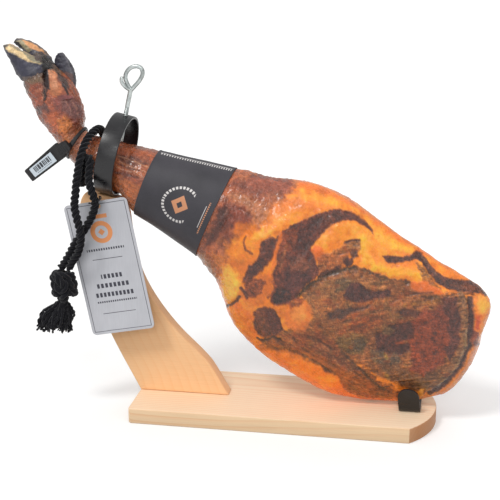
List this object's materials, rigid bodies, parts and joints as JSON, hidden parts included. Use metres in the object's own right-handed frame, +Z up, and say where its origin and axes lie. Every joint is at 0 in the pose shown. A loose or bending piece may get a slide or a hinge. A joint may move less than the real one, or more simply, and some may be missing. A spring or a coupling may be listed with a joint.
{
  "type": "cured ham on a carving stand",
  "caption": "Whole cured pork shoulder with its hoof, held in a wooden carving stand by a round clamp ring with an eye screw and a U cradle.",
  "frame": {"origin": "centre of the base board's underside", "axes": "+Z up; +X along the base board from the hoof end to the butt end; -Y toward the side that is carved first"},
  "size_m": [0.6115, 0.148, 0.4765],
  "materials": {
    "ham": "satin",
    "pine": "satin",
    "pine_arm": "satin",
    "black_steel": "satin",
    "zinc": "satin",
    "screw_steel": "satin",
    "band_paper": "matte",
    "tag_card": "satin",
    "black_cotton": "matte",
    "black_plastic": "satin",
    "white_label": "satin"
  },
  "bodies": {
    "stand": {"ham": "ham", "base_board": "pine", "upright_arm": "pine_arm", "clamp_ring": "black_steel", "cradle_bracket": "black_steel", "arm_screw_1": "screw_steel", "arm_screw_2": "screw_steel", "ring_screw_1": "screw_steel", "ring_screw_2": "screw_steel", "cradle_screw_1": "screw_steel", "cradle_screw_2": "screw_steel", "label_sleeve": "band_paper", "swing_tag": "tag_card", "tag_tie": "black_cotton", "rope": "black_cotton", "rope_knot": "black_cotton", "rope_tassel": "black_cotton", "seal_strap": "black_plastic", "seal_plate": "black_plastic", "seal_sticker": "white_label"},
    "screw": {"clamp_screw": "zinc"}
  },
  "joints": [
    {"name": "clamp_screw_slide", "type": "slide", "parent": "stand", "child": "screw", "axis": [0.2215, -0.002, 0.9752], "range_m": [0, 0.022]}
  ]
}
